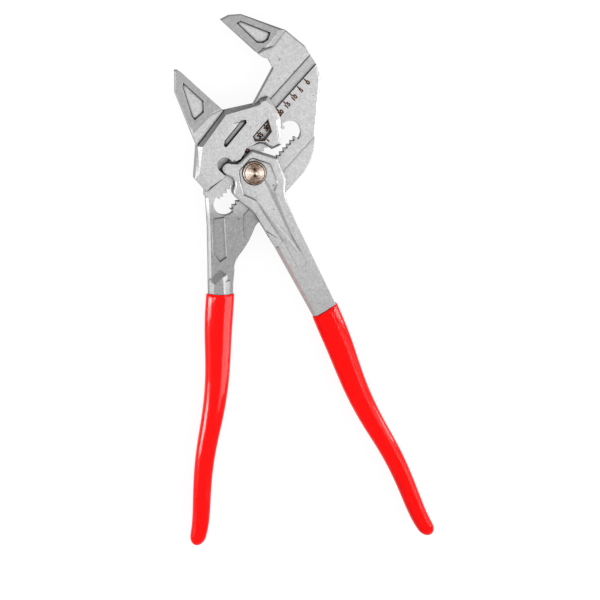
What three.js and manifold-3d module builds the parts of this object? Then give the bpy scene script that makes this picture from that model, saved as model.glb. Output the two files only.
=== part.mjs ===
// Adjustable pliers with parallel jaws and dipped grips, lying flat on their back, in millimetres.
// X runs to the right, Y up from the grips to the jaws and Z up from the bench.
// In the plane, every place is measured from the axis of the pivot bolt.
// The tool is symmetric about its middle plane, so heights are measured from that plane.

import * as THREE from 'three';
import { mergeVertices } from 'three/addons/utils/BufferGeometryUtils.js';
import Module from 'manifold-3d';

const wasm = await Module();
wasm.setup();
const radians = THREE.MathUtils.degToRad;

// Thicknesses, each from the middle plane or through one wall
const armHalf = 3;
const slideGap = 0.2;
const plateWall = 4;
const plateInner = armHalf + slideGap;
const plateOuter = plateInner + plateWall;
const jawHalf = 5.2;
const spineHalf = 4.4;
const neckHalf = 4.7;

// Slide: the toothed slot and the grooves run along one slanted axis
const slideAngle = radians(47.5);
const toothPitch = 2.5;
const toothDepth = 1.4;
const notchesUp = 11;
const slotHalfWidth = 3.75;
const slotEndRadius = 5.5;
const slotTop = 26.9;
const slotBottom = 21;
const grooveNear = 12.85;
const grooveFar = 18.45;
const grooveDepth = 1;
const grooveFit = 0.25;

// Jaws
const jawReach = 62.4;
const slidingFace = 12.5;
const restOpening = 32.1;
const fixedFace = slidingFace + restOpening;
const headDepth = 18.4;
const armEdge = 18.55;
const armTail = 24.6;
const armCorner = 16.9;
const throatReach = 27.55;
const tailReach = 17.2;
const backSlope = Math.tan(radians(14));
const stepReach = 9.85;
const landFall = 0.5;
const stepWidth = 0.9;
const jawStroke = 2.1;
const webFit = 0.5;
const pocketDepth = 1.2;
const notchDepth = 1.4;
const jawTaper = 1.3;
const taperRoot = 37.5;
const rootFall = 0.75;
const creaseDepth = 0.3;
const creaseLean = Math.tan(radians(5));
const ribLow = -19;
const ribHigh = 27.5;

// Scoop in the sliding jaw, from the slide axis
const scoopHigh = 15.4;
const scoopAcross = 20.9;
const scoopHalf = 1.3;
const scoopDepth = 1.8;
const scoopDraft = 0.45;
const flareDepth = 0.9;

// Handles: the coats are drawn from their mouth along a straight chord
const gripLength = 127;
const gripWidth = 14.2;
const gripHalf = 5.2;
const gripTip = 5;
const mouthDip = 1.2;
const mouthLean = Math.tan(radians(5.3));
const coatWall = 1;
const coatFit = 0.3;
const tangRoot = 7;
const neckWidth = 12.9;
const leftMouth = new THREE.Vector2(-16.2, -59.4);
const leftTilt = radians(-95.6);
const rightTilt = radians(-64.9);

// Lever: drawn along its own axis, which runs from the bolt to the grip
const leverAngle = radians(-63);
const leverNeck = 76.6;
const mouthLead = 0.24;
const mouthOffset = 0.58;
const headWidth = 13.5;
const forkLeft = 37.5;
const forkRight = 16.5;
const taperStart = 14;
const panelDepth = 0.6;
const panelSlope = 0.6;
const panelLength = 50.5;
const flankWidth = 1.3;
const flankDrop = 2.3;

// Lug of the lever, and the socket of the sliding jaw that it turns in, in the frame of the slide
const lugReach = 13;
const lugAngle = radians(122.7);
const lugRadius = 3.1;
const socketFit = 0.65;
const socketLead = 0.2;
const socketDepth = 2.6;
const socketMouth = 5.6;

// Bolt, button and spring
const shankRadius = 2.6;
const boreFit = 0.3;
const discRadius = 5.9;
const discHeight = 3.9;
const blockRadius = 4.6;
const blockHeight = 2.1;
const toothFit = 0.35;
const pinRadius = 1.4;
const pinDrop = 0.5;
const buttonRadius = 5.7;
const buttonWall = 1.55;
const buttonProud = 1.3;
const buttonEdge = 0.5;
const buttonDish = 0.25;
const seatHeight = 4;
const washerWall = 0.3;
const springGroove = 0.8;
const springSeat = 0.15;
const springLow = 4.8;
const springHigh = 3.7;
const springTurns = 2;
const wireRadius = 0.25;

// Chamfers along the edges of the forgings, by width
const none = 0;
const fine = 0.35;
const rim = 0.8;
const side = 1.2;
const neckRim = 1.4;
const broad = 2.4;
const wide = 3.3;
const rimDrop = 0.6;
const broadDrop = 1.9;

// Fineness
const roundSides = 48;
const sectionSides = 24;
const handleRings = 22;
const tipRings = 5;
const stepsPerTurn = 20;
const wireSides = 8;

// How far the cutting solids run past what they cut
const overrun = 6;

const steelColour = 0xb9bcbe;
const coatColour = 0xe60a05;
const bronzeColour = 0xb09a84;

// Solids from three.js shapes

function solid(geometry) {
  const bare = geometry.clone();
  bare.deleteAttribute('normal');
  bare.deleteAttribute('uv');
  const merged = mergeVertices(bare);
  return new wasm.Manifold(new wasm.Mesh({
    numProp: 3,
    vertProperties: new Float32Array(merged.attributes.position.array),
    triVerts: new Uint32Array(merged.index.array),
  }));
}

function geometryOf(body) {
  const result = body.getMesh();
  const geometry = new THREE.BufferGeometry();
  geometry.setAttribute('position', new THREE.BufferAttribute(result.vertProperties, 3));
  geometry.setIndex(new THREE.BufferAttribute(result.triVerts, 1));
  geometry.computeVertexNormals();
  return geometry;
}

function joined(bodies) {
  return bodies.reduce((sum, body) => sum.add(body));
}

// A closed skin over rings that have equally many points each
function ringSolid(rings) {
  const count = rings[0].length;
  const positions = rings.flat().flatMap((point) => [point.x, point.y, point.z]);
  const index = [];
  for (let ring = 0; ring < rings.length - 1; ring += 1) {
    for (let side = 0; side < count; side += 1) {
      const next = (side + 1) % count;
      const low = ring * count;
      const high = low + count;
      index.push(low + side, low + next, high + next, low + side, high + next, high + side);
    }
  }
  const cap = (ring) => THREE.ShapeUtils.triangulateShape(flatOutline(rings[ring]), []);
  const last = (rings.length - 1) * count;
  cap(0).forEach(([a, b, c]) => index.push(c, b, a));
  cap(rings.length - 1).forEach(([a, b, c]) => index.push(last + a, last + b, last + c));
  const geometry = new THREE.BufferGeometry();
  geometry.setAttribute('position', new THREE.Float32BufferAttribute(positions, 3));
  geometry.setIndex(index);
  return solid(geometry);
}

// The ring seen along its own normal, for filling it in
function flatOutline(ring) {
  const centre = ring.reduce((sum, point) => sum.add(point), new THREE.Vector3()).divideScalar(ring.length);
  const normal = new THREE.Vector3();
  ring.forEach((point, at) => {
    const a = point.clone().sub(centre);
    const b = ring[(at + 1) % ring.length].clone().sub(centre);
    normal.add(a.cross(b));
  });
  normal.normalize();
  const across = new THREE.Vector3(0, 0, 1).cross(normal);
  if (across.length() < Number.EPSILON ** 0.5) across.set(1, 0, 0);
  across.normalize();
  const upward = normal.clone().cross(across);
  return ring.map((point) => new THREE.Vector2(point.dot(across), point.dot(upward)));
}

// Outline points are [x, y] or [x, y, chamfer of the edge that starts there]
function counterclockwise(outline) {
  const points = outline.map(([x, y]) => new THREE.Vector2(x, y));
  if (!THREE.ShapeUtils.isClockWise(points)) return outline;
  const turned = outline.slice().reverse();
  return turned.map(([x, y], at) => [x, y, turned[(at + 1) % turned.length][2]]);
}

// Each edge moves inward by its own chamfer, and each corner to where its two edges meet again
const gentleTurnShare = 0.1;
function inset(outline) {
  const count = outline.length;
  return outline.map(([x, y, after = none], at) => {
    const [px, py, before = none] = outline[(at + count - 1) % count];
    const [nx, ny] = outline[(at + 1) % count];
    const point = new THREE.Vector2(x, y);
    const arriving = point.clone().sub(new THREE.Vector2(px, py)).normalize();
    const leaving = new THREE.Vector2(nx, ny).sub(point).normalize();
    const inFirst = new THREE.Vector2(-arriving.y, arriving.x);
    const inSecond = new THREE.Vector2(-leaving.y, leaving.x);
    const along = inFirst.dot(inSecond);
    const spread = 1 - along * along;
    if (spread < gentleTurnShare) {
      return point.add(inFirst.add(inSecond).normalize().multiplyScalar((before + after) / 2));
    }
    return point
      .add(inFirst.multiplyScalar((before - after * along) / spread))
      .add(inSecond.multiplyScalar((after - before * along) / spread));
  });
}

function ringAt(points, height) {
  return points.map((point) => new THREE.Vector3(point.x, point.y, height));
}

function prism(outline, low, high) {
  const points = counterclockwise(outline).map(([x, y]) => new THREE.Vector2(x, y));
  return ringSolid([ringAt(points, low), ringAt(points, high)]);
}

// A plate about the middle plane with chamfers on its front and back edges
function plate(outline, half, drop) {
  const ordered = counterclockwise(outline);
  const outer = ordered.map(([x, y]) => new THREE.Vector2(x, y));
  const inner = inset(ordered);
  return ringSolid([
    ringAt(inner, -half),
    ringAt(outer, drop - half),
    ringAt(outer, half - drop),
    ringAt(inner, half),
  ]);
}

// The same cut from the front and from the back
function bothFaces(body) {
  return body.add(body.mirror([0, 0, 1]));
}

function cylinder(radius, low, high) {
  const geometry = new THREE.CylinderGeometry(radius, radius, high - low, roundSides);
  geometry.rotateX(radians(90));
  geometry.translate(0, 0, (low + high) / 2);
  return solid(geometry);
}
function moved(body, x, y) {
  return body.translate([x, y, 0]);
}

function turned(body, angle) {
  return body.rotate([0, 0, THREE.MathUtils.radToDeg(angle)]);
}

function arc(x, y, radius, from, to, steps) {
  return Array.from({ length: steps + 1 }, (_, step) => {
    const angle = from + ((to - from) * step) / steps;
    return [x + radius * Math.cos(angle), y + radius * Math.sin(angle)];
  });
}

// A wedge-shaped cutter: its outline lies in the plane of length and height, and it runs across
function sideCut(outline, halfAcross) {
  const shape = new THREE.Shape(counterclockwise(outline).map(([x, z]) => new THREE.Vector2(x, z)));
  const geometry = new THREE.ExtrudeGeometry(shape, { depth: 2 * halfAcross, bevelEnabled: false });
  geometry.rotateX(radians(90));
  geometry.translate(0, halfAcross, 0);
  return solid(geometry);
}

// Toothed outlines of the slot and of the bolt that catches in it

function rack(halfWidth, from, to) {
  const edge = [];
  for (let notch = from; notch < to; notch += 1) {
    edge.push([notch * toothPitch, halfWidth + toothDepth / 2]);
    edge.push([(notch + 1 / 2) * toothPitch, halfWidth - toothDepth / 2]);
  }
  edge.push([to * toothPitch, halfWidth + toothDepth / 2]);
  const other = edge.map(([along, across]) => [along, -across]).reverse();
  return [...edge, ...other];
}

// The teeth run on as far as the middle of each round end
function slot() {
  const through = overrun + armHalf;
  const lowest = -Math.ceil(slotBottom / toothPitch);
  const highest = Math.ceil(slotTop / toothPitch);
  const upper = arc(slotTop, 0, slotEndRadius, radians(-90), radians(90), roundSides / 2);
  const lower = arc(-slotBottom, 0, slotEndRadius, radians(90), radians(270), roundSides / 2);
  return joined([
    prism(rack(slotHalfWidth, lowest, highest), -through, through),
    prism(upper, -through, through),
    prism(lower, -through, through),
  ]);
}

// A recess in the upper face: its walls spread from the floor to the surface by the outline's own edges
function recess(outline, surfaceAt, depthAt) {
  const ordered = counterclockwise(outline);
  const floor = ordered.map(([x, y]) => new THREE.Vector3(x, y, surfaceAt(x) - depthAt(x)));
  const brim = inset(ordered).map((point) => new THREE.Vector3(point.x, point.y, surfaceAt(point.x)));
  return ringSolid([floor, brim, ringAt(brim, plateOuter + overrun)]);
}

// Fixed arm

// Back edge of the fixed arm, which leans away from the slide
function backEdge(along) {
  return throatReach + (along - fixedFace) * backSlope;
}

// Depth behind the gripping face and reach across the slide
const headBackShares = [
  [0.962, 0.571], [1, 0.375], [0.924, 0.296], [0.842, 0.204], [0.701, 0.132], [0.62, 0.1],
];
const headLowShares = [[0.473, 0.493], [0.886, 0.795], [1.141, 0.919], [1.5, 1]];
const throatShares = [[0.005, 0.593], [0.022, 0.553], [0.087, 0.516], [0.038, 0.471]];
const underWedgeShares = [[0.62, 0.673], [0.054, 0.673]];
const wedgeShares = [
  [0, 1, fine], [0.239, 0.974, fine], [0.484, 0.905, rim], [0.957, 0.569, broad], [0.44, 0.554, rim],
  [0.092, 0.604, none], [0, 0.622, fine],
];
const wedgePocketShares = [
  [0.212, 0.896], [0.332, 0.883], [0.641, 0.646], [0.451, 0.622], [0.31, 0.633], [0.19, 0.671],
];

function onHead(shares) {
  return shares.map(([depth, reach, edge]) => [fixedFace + depth * headDepth, reach * jawReach, edge]);
}

function armLand() {
  const low = headLowShares.map(([depth, edge]) => [fixedFace - depth * headDepth, -edge * armEdge, rim]);
  const levelStart = fixedFace - (throatReach - tailReach) / backSlope;
  return plate([
    ...onHead(throatShares),
    [fixedFace, backEdge(fixedFace), fine],
    [levelStart, tailReach],
    [-armCorner, tailReach],
    [-armTail, backEdge(-armTail)],
    [-armCorner, -armEdge, fine],
    ...low.reverse(),
    ...onHead(headBackShares).reverse().map(([x, y]) => [x, y, rim]),
    ...onHead(underWedgeShares),
  ], armHalf, rimDrop);
}

// The jaw stands proud of the land and thins towards its tip
function fixedWedge() {
  const body = plate(onHead(wedgeShares), jawHalf, broadDrop);
  return body.subtract(joined([tipTaper([[taperRoot, jawHalf]]), rootNotch()]));
}

// A short notch in the lower edge of the jaw, close to its root
const notchShares = [[0.085, 0.612], [0.202, 0.612], [0.353, 0.564], [0.3, 0.563], [0.111, 0.598]];
function rootNotch() {
  return bothFaces(prism(onHead(notchShares), jawHalf - notchDepth, jawHalf + overrun));
}

// Both jaws are equally thin at the tip, whatever the rows near their root
function tipTaper(rootRows) {
  const cut = sideCut([
    ...rootRows,
    [jawReach, jawHalf - jawTaper],
    [jawReach + overrun, jawHalf - jawTaper],
    [jawReach + overrun, jawHalf + overrun],
    [rootRows[0][0], jawHalf + overrun],
  ], jawReach + headDepth);
  return bothFaces(turned(cut, radians(90)));
}

function jawPocket(outline) {
  return bothFaces(prism(outline, jawHalf - jawTaper / 2 - pocketDepth, jawHalf + overrun));
}

function grooves() {
  const from = -armTail - overrun;
  const to = fixedFace + headDepth + overrun;
  const outline = [[from, grooveNear], [to, grooveNear], [to, grooveFar], [from, grooveFar]];
  return bothFaces(prism(outline, armHalf - grooveDepth, armHalf + overrun));
}

const neckLeftShares = [[-0.589, 0.162], [-0.504, 0.443], [-0.481, 0.729], [-0.473, 1.035]];
const neckRightShares = [
  [0.474, 1.035], [0.484, 0.925], [0.529, 0.817], [0.524, 0.778], [0.579, 0.735],
  [0.699, 0.692], [0.874, 0.643], [1.084, 0.571], [1.229, 0.505], [1.329, 0.45], [1.444, 0.417],
];

// The neck hangs straight down from the head. Its rows are across from the coat's axis and down,
// as shares of the neck's width and length
function neckPoint([across, down]) {
  return [leftMouth.x + across * neckWidth, leftMouth.y * down];
}

function neckLand() {
  const chamfers = [neckRim, neckRim, neckRim, none];
  const left = neckLeftShares.map((row, at) => [...neckPoint(row), chamfers[at]]);
  const right = neckRightShares.map((row) => [...neckPoint(row), fine]);
  return plate([...left, ...right], armHalf, side);
}

// A raised spine with a roof-shaped upper end carries the neck into the coat
const spineShares = [
  [-0.451, 0.891, wide], [-0.031, 0.81, broad], [0.249, 0.845, broad], [0.294, 1.035],
  [-0.451, 1.035, broad],
];
function spine() {
  const outline = spineShares.map(([across, down, edge]) => [...neckPoint([across, down]), edge]);
  return plate(outline, spineHalf, spineHalf - armHalf);
}

// Shallow panel down the neck, on both faces
const neckPanelShares = [
  [-0.311, 0.419], [-0.231, 0.384], [0.109, 0.374], [0.119, 0.424], [0.189, 0.699], [-0.031, 0.733],
  [-0.251, 0.67],
];
function neckPanel() {
  const outline = neckPanelShares.map((row) => [...neckPoint(row), -panelSlope]);
  return bothFaces(recess(outline, () => armHalf, () => panelDepth));
}

// Beyond a fine step the land lies a little lower, on the side of the lever
const stepEndShares = [0.84, 0.65];
function lowBorder() {
  const onSlide = (along, across) => {
    const point = new THREE.Vector2(along, across).rotateAround(new THREE.Vector2(), slideAngle);
    return [point.x, point.y];
  };
  const far = fixedFace + headDepth;
  const [x, y] = neckPoint(stepEndShares);
  const ordered = counterclockwise([
    [...onSlide(far, -stepReach), stepWidth],
    [...onSlide(-armCorner - toothPitch, -stepReach), stepWidth],
    [x, y],
    [x + neckWidth, y],
    onSlide(far, -armEdge - overrun),
  ]);
  const outer = ordered.map(([across, down]) => new THREE.Vector2(across, down));
  const low = ringAt(inset(ordered), armHalf - landFall);
  return bothFaces(ringSolid([low, ringAt(outer, armHalf + rimDrop)]));
}

// Tang and coat share one curved form: along, bow, width and thickness
const handleShares = [
  [0, 0, 0.99, 1], [0.08, 0.0025, 1, 1], [0.16, 0.0065, 0.965, 1], [0.245, 0.0135, 0.91, 1],
  [0.33, 0.019, 0.855, 1], [0.41, 0.0195, 0.81, 1], [0.5, 0.0145, 0.76, 0.98], [0.585, 0.006, 0.715, 0.95],
  [0.67, 0.001, 0.68, 0.92], [0.755, 0.0015, 0.65, 0.9], [0.84, 0.006, 0.63, 0.88],
  [0.92, 0.0085, 0.595, 0.84],
  [1, 0, 0.54, 0.78],
];
const squareness = 2.4;

function handleForm(inward, bend, start, end) {
  const column = (at) => new THREE.CatmullRomCurve3(
    handleShares.map((row) => new THREE.Vector3(row[0] * gripLength, row[at], 0)),
  );
  const [bow, width, thickness] = [1, 2, 3].map(column);
  const value = (curve, along) => {
    const place = THREE.MathUtils.clamp(along / gripLength, 0, 1);
    return curve.getPoint(shareAt(place)).y;
  };
  const tipStart = end - gripTip + inward;
  const lengths = [];
  for (let ring = 0; ring <= handleRings; ring += 1) {
    lengths.push([start + ((tipStart - start) * ring) / handleRings, 1]);
  }
  for (let ring = 1; ring <= tipRings; ring += 1) {
    const angle = (ring / (tipRings + 1 / 2)) * radians(90);
    lengths.push([tipStart + (end - inward - tipStart) * Math.sin(angle), Math.cos(angle)]);
  }
  const rings = lengths.map(([along, shrink], ring) => {
    const halfWidth = ((value(width, along) * gripWidth) / 2 - inward) * shrink;
    const halfThick = (value(thickness, along) * gripHalf - inward) * shrink;
    const middle = bend * value(bow, along) * gripLength;
    return Array.from({ length: sectionSides }, (_, step) => {
      const [across, up] = squarish(step / sectionSides);
      const dip = ring === 0 ? mouthDip * Math.abs(up) - mouthLean * across * halfWidth : 0;
      return new THREE.Vector3(along + dip, middle + across * halfWidth, up * halfThick);
    });
  });
  return ringSolid(rings);
}

// Point on a rounded square of half width one, for a share of its round
function squarish(share) {
  const bent = (value) => Math.sign(value) * Math.abs(value) ** (2 / squareness);
  return [bent(Math.cos(share * radians(360))), bent(Math.sin(share * radians(360)))];
}

// The curve's own parameter for a share of the length, found between its rows
function shareAt(place) {
  const rows = handleShares.length - 1;
  const after = handleShares.findIndex(([along]) => along >= place);
  if (after <= 0) return 0;
  const [low] = handleShares[after - 1];
  const [high] = handleShares[after];
  return (after - 1 + (place - low) / (high - low)) / rows;
}

function placed(body, mouth, tilt) {
  return moved(turned(body, tilt), mouth.x, mouth.y);
}

// The neck ends just short of the coat's mouth and follows its dip and lean, also beyond its sides
function mouthCut(bend) {
  const dipped = Array.from({ length: sectionSides / 2 + 1 }, (_, step) => {
    const [across, up] = squarish(step / sectionSides);
    const place = (across * gripWidth) / 2;
    return [mouthDip * up - mouthLean * place - coatFit, place];
  });
  const lean = mouthLean * gripWidth;
  const outline = [
    [lean - coatFit, -gripWidth],
    [gripLength, -gripWidth],
    [gripLength, gripWidth],
    [-lean - coatFit, gripWidth],
    ...dipped,
  ];
  const cut = prism(outline, -plateOuter - overrun, plateOuter + overrun);
  return handleForm(-coatFit, bend, -coatFit, gripLength).add(cut);
}

function tang(bend) {
  const inside = coatWall + coatFit;
  return handleForm(inside, bend, -tangRoot, gripLength - inside);
}

function coat(bend) {
  const cavity = handleForm(coatWall, bend, -overrun, gripLength);
  return handleForm(0, bend, 0, gripLength).subtract(cavity);
}

function fixedArm() {
  const head = turned(joined([armLand(), fixedWedge()]), slideAngle);
  const neck = neckLand().add(spine()).subtract(placed(mouthCut(1), leftMouth, leftTilt));
  const raised = joined([head, neck, placed(tang(1), leftMouth, leftTilt)]);
  const pocket = turned(jawPocket(onHead(wedgePocketShares)), slideAngle);
  const alongSlide = turned(slot().add(grooves()), slideAngle);
  return raised.subtract(joined([alongSlide, lowBorder(), neckPanel(), pocket]));
}

// Sliding jaw

// Rows are along and across the slide, as shares of the reach of the jaw, on the outer edge
// of the plate and then on its flat face
const jawTopShares = [
  [0.2, 0.503, 0.191, 0.478], [0.401, 0.359, 0.404, 0.343], [0.441, 0.348, 0.433, 0.329],
  [0.468, 0.354, 0.452, 0.343], [0.519, 0.324, 0.479, 0.319], [0.516, 0.308, 0.479, 0.304],
  [0.492, 0.223, 0.45, 0.237], [0.46, 0.135, 0.42, 0.151], [0.311, -0.008, 0.301, 0.018],
  [0.292, -0.005, 0.288, 0.021], [0.232, 0.022, 0.242, 0.035], [0.229, 0.058, 0.229, 0.058],
];
const jawHollowShares = [
  [0.228, 0.095], [0.205, 0.122], [0.16, 0.155], [0.127, 0.173], [0.099, 0.181],
  [0.074, 0.173], [0.046, 0.163], [0.01, 0.157], [-0.024, 0.17], [-0.034, 0.192],
];
const jawLeftShares = [
  [-0.188, 0.149, -0.188, 0.155], [-0.361, 0.176, -0.311, 0.186], [-0.345, 0.317, -0.287, 0.324],
  [-0.147, 0.473, -0.119, 0.442],
];

function onJaw(shares) {
  return shares.map(([along, across, edge]) => [along * jawReach, across * jawReach, edge]);
}

function jawPlates() {
  const hollow = jawHollowShares.map(([along, across]) => [along, across, along, across]);
  const rows = [...jawTopShares, ...hollow, ...jawLeftShares].reverse();
  const outer = rows.map(([along, across]) => new THREE.Vector2(along, across).multiplyScalar(jawReach));
  const inner = rows.map((row) => new THREE.Vector2(row[2], row[3]).multiplyScalar(jawReach));
  return ringSolid([
    ringAt(inner, -plateOuter),
    ringAt(outer, broadDrop - plateOuter),
    ringAt(outer, plateOuter - broadDrop),
    ringAt(inner, plateOuter),
  ]);
}

const faceTopShare = 0.965;
const faceRootShare = 0.503;
const jawWedgeShares = [
  [0.196, 0.986, fine], [0.186, 0.998, fine], [0.173, 0.998, fine], [0.167, 0.987, side],
  [0.053, 0.883, side],
  [-0.107, 0.551, rim], [-0.147, 0.465, none], [-0.114, 0.391, none], [0.154, 0.449, none],
];
const jawPocketShares = [
  [0.151, 0.894], [0.152, 0.675], [0.088, 0.615], [-0.006, 0.625], [-0.002, 0.66], [0.119, 0.869],
];
const rootShare = 0.57;
const rootEndShare = 0.625;
const creaseShares = [
  [-0.096, 0.572], [0.101, 0.564], [0.2, 0.529], [0.2, 0.412], [-0.207, 0.412], [-0.207, 0.572],
];

function slidingWedge() {
  const body = plate([
    [slidingFace, faceTopShare * jawReach, fine],
    ...onJaw(jawWedgeShares),
    [slidingFace, faceRootShare * jawReach, fine],
  ], jawHalf, rimDrop);
  const root = [[rootShare * jawReach, jawHalf], [rootEndShare * jawReach, jawHalf - rootFall]];
  return body.subtract(joined([tipTaper(root), rootLand()]));
}

// Between the crease at the wedge's root and the plate, the face leans down towards the plate
function rootLand() {
  const points = counterclockwise(onJaw(creaseShares));
  const crease = Math.max(...points.map(([, across]) => across));
  const floor = points.map(([along, across]) => new THREE.Vector3(
    along,
    across,
    jawHalf - creaseDepth - (crease - across) * creaseLean,
  ));
  return bothFaces(ringSolid([floor, ringAt(floor, jawHalf + overrun)]));
}

// The channel for the fixed arm runs below a line that clears the arm's back edge at full travel
function channel() {
  const travel = notchesUp * toothPitch + jawStroke;
  const line = (along) => backEdge(along + travel) + webFit;
  const low = -jawReach;
  const outline = [
    [low, line(low)],
    [low, low],
    [jawReach, low],
    [jawReach, jawReach],
    [slidingFace, jawReach],
    [slidingFace, line(slidingFace)],
  ];
  return prism(outline, -plateInner, plateInner);
}

function guideRibs() {
  const near = grooveNear + grooveFit;
  const far = grooveFar - grooveFit;
  const outline = [[ribLow, near], [ribHigh, near], [ribHigh, far], [ribLow, far]];
  return bothFaces(prism(outline, plateInner - grooveDepth, plateInner + plateWall / 2));
}

// The lug moves up this slot as the lever turns, and drives the jaw along the slide
function socket() {
  const through = plateOuter + overrun;
  const half = lugRadius + socketFit;
  const along = lugReach * Math.cos(lugAngle) + socketLead;
  const across = lugReach * Math.sin(lugAngle);
  return prism([
    [along - half, across - socketMouth],
    [along + half, across - socketMouth],
    ...arc(along, across + socketDepth, half, 0, radians(180), roundSides / 4),
  ], -through, through);
}

// Window over the scale, through the front plate
const windowShares = [[0.373, 0.2], [0.329, 0.127], [0.244, 0.119], [0.197, 0.168], [0.21, 0.196]];
function scaleWindow() {
  return prism(onJaw(windowShares), armHalf, plateOuter + overrun);
}

// Long narrow scoop in the front plate, a little steeper than the slide, with leaning walls
const scoopShares = [
  [0.105, 0.58], [0, -0.38], [-0.01, -1.1], [0.03, -1.5], [1.03, -1.02], [1.08, -0.1], [0.96, 1.15],
];
function onScoop([along, across]) {
  return [along * scoopHigh, scoopAcross + across * scoopHalf];
}

function scoop() {
  const ordered = counterclockwise(scoopShares.map((row) => [...onScoop(row), scoopDraft]));
  const brim = ordered.map(([x, y]) => new THREE.Vector3(x, y, plateOuter));
  const floor = ringAt(inset(ordered), plateOuter - scoopDepth);
  return ringSolid([floor, brim, ringAt(brim, plateOuter + overrun)]).add(scoopFlare());
}

// A slanted facet falls from the face into the scoop, deepest at the upper end
const flareShares = [[0.683, 2.98, 0], [0.105, 0.3, 0], [0.96, 0.6, 1]];
function scoopFlare() {
  const points = flareShares.map(([along, across, fall]) => new THREE.Vector3(
    ...onScoop([along, across]),
    plateOuter - fall * flareDepth,
  ));
  return ringSolid([points, ringAt(points, plateOuter + overrun)]);
}

function slidingJaw() {
  const plates = joined([jawPlates(), slidingWedge()]).subtract(channel());
  const cuts = [socket(), scaleWindow(), scoop(), jawPocket(onJaw(jawPocketShares))];
  return plates.add(guideRibs()).subtract(joined(cuts));
}

// Lever

const leverMouth = new THREE.Vector2(leverNeck + mouthLead, mouthOffset);
const leverTilt = rightTilt - leverAngle;

// Rows are along the lever and across it, as shares of half the head's width
const leverHeadShares = [
  [-0.615, -0.42], [-0.615, -0.3], [-0.778, 0.222], [-0.77, 0.32], [-0.178, 0.92], [-0.096, 1],
  [0.71, 0.926],
  [1.14, 0.681], [1.415, 0.607],
];
const leverRightShares = [[0.41, 0.533], [0.54, 0.526], [1.03, 0.476]];
const leverLeftShares = [[1.03, -0.44], [0.49, -0.535], [0.374, -0.58], [0.236, -0.645]];
const leverHeelShares = [
  [1.148, -0.711], [0.963, -0.785], [0.718, -0.911], [0.541, -0.977], [0.354, -1.014], [0.237, -0.97],
  [0.06, -0.81], [-0.089, -0.76], [-0.222, -0.785],
];

function onLeverHead(shares, edge = none) {
  return shares.map(([along, across]) => [along * headWidth, across * headWidth, edge]);
}

function onLeverNeck(shares, edge = none) {
  return shares.map(([along, across]) => [along * leverNeck, across * headWidth, edge]);
}

const noseStart = radians(125);
const noseEnd = radians(295);
function leverBody() {
  const lugX = lugReach * Math.cos(slideAngle + lugAngle - leverAngle);
  const lugY = lugReach * Math.sin(slideAngle + lugAngle - leverAngle);
  const nose = arc(lugX, lugY, lugRadius, noseStart, noseEnd, roundSides / 3);
  return plate([
    ...onLeverHead(leverHeadShares, rim),
    ...onLeverNeck(leverRightShares, rim),
    ...onLeverNeck(leverLeftShares, side),
    ...onLeverHead(leverHeelShares, rim),
    ...nose.reverse().map(([x, y]) => [x, y, fine]),
  ], plateOuter, rimDrop);
}

// Height of the lever's face, which falls evenly from the head to the grip
function leverFace(along) {
  const fall = (plateOuter - neckHalf) / (leverNeck - taperStart);
  return plateOuter - fall * Math.max(along - taperStart, 0);
}

// The solid part of the neck has a long steep chamfer on the side of the fixed arm
function flank() {
  const [[farX, farY], [nearX, nearY]] = onLeverNeck(leverLeftShares);
  const corners = (rise, fall) => [
    new THREE.Vector3(nearX, nearY - overrun, leverFace(nearX) - fall),
    new THREE.Vector3(farX, farY - overrun, leverFace(farX) - fall),
    new THREE.Vector3(farX, farY + rise, leverFace(farX) - fall),
    new THREE.Vector3(nearX, nearY + rise, leverFace(nearX) - fall),
  ];
  const brim = corners(flankWidth, none);
  return bothFaces(ringSolid([corners(none, flankDrop), brim, ringAt(brim, plateOuter + overrun)]));
}

// The lever thins from its head to the grip, on both faces
function leverTaper() {
  const far = leverNeck + overrun;
  return bothFaces(sideCut([
    [taperStart, plateOuter],
    [leverNeck, neckHalf],
    [far, neckHalf],
    [far, plateOuter + overrun],
    [taperStart, plateOuter + overrun],
  ], leverNeck));
}

// The fork is milled open as far as a slanted line, deeper on the side of the fixed arm
function forkCut() {
  const slope = (forkLeft - forkRight) / (2 * headWidth);
  const line = (across) => forkRight + (headWidth - across) * slope;
  const out = headWidth * 2;
  const outline = [[-out, -out], [line(-out), -out], [line(out), out], [-out, out]];
  return prism(outline, -plateInner, plateInner);
}

// A six-sided panel round the button runs out into a channel down the neck
const panelHeadShares = [
  [0.92, 0.3], [0.726, 0.548], [0.585, 0.593], [-0.03, 0.644], [-0.474, 0.207], [-0.511, 0.104],
  [-0.319, -0.444],
  [0.067, -0.578], [0.511, -0.681], [0.915, -0.37],
];
const panelNeckShares = [
  [0.71, -0.193], [0.99, -0.148], [1, 0.23], [0.86, 0.185], [0.7, 0.156], [0.386, 0.259],
];
const panelRunoutShare = 0.15;
function panel() {
  const neck = panelNeckShares.map(([along, across]) => [
    along * panelLength, across * headWidth, -panelSlope,
  ]);
  const head = onLeverHead(panelHeadShares, -panelSlope);
  const depthAt = (along) => {
    const left = (panelLength - along) / (panelRunoutShare * panelLength);
    return panelDepth * THREE.MathUtils.clamp(left, panelRunoutShare, 1);
  };
  return bothFaces(recess([...head.reverse(), ...neck.reverse()], leverFace, depthAt));
}

function pivotBores() {
  const out = plateOuter + overrun;
  return joined([
    cylinder(buttonRadius + boreFit, seatHeight, out),
    cylinder(shankRadius + boreFit, 0, out),
    cylinder(discRadius + boreFit, -out, 0),
  ]);
}

function leverArm() {
  const end = placed(mouthCut(-1), leverMouth, leverTilt);
  const shaped = leverBody().subtract(joined([leverTaper(), flank(), end]));
  const whole = shaped.add(placed(tang(-1), leverMouth, leverTilt));
  return whole.subtract(joined([forkCut(), panel(), pivotBores()]));
}

// Pivot bolt, button, spring and washer

const underButton = plateOuter + buttonProud - buttonWall;

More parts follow.
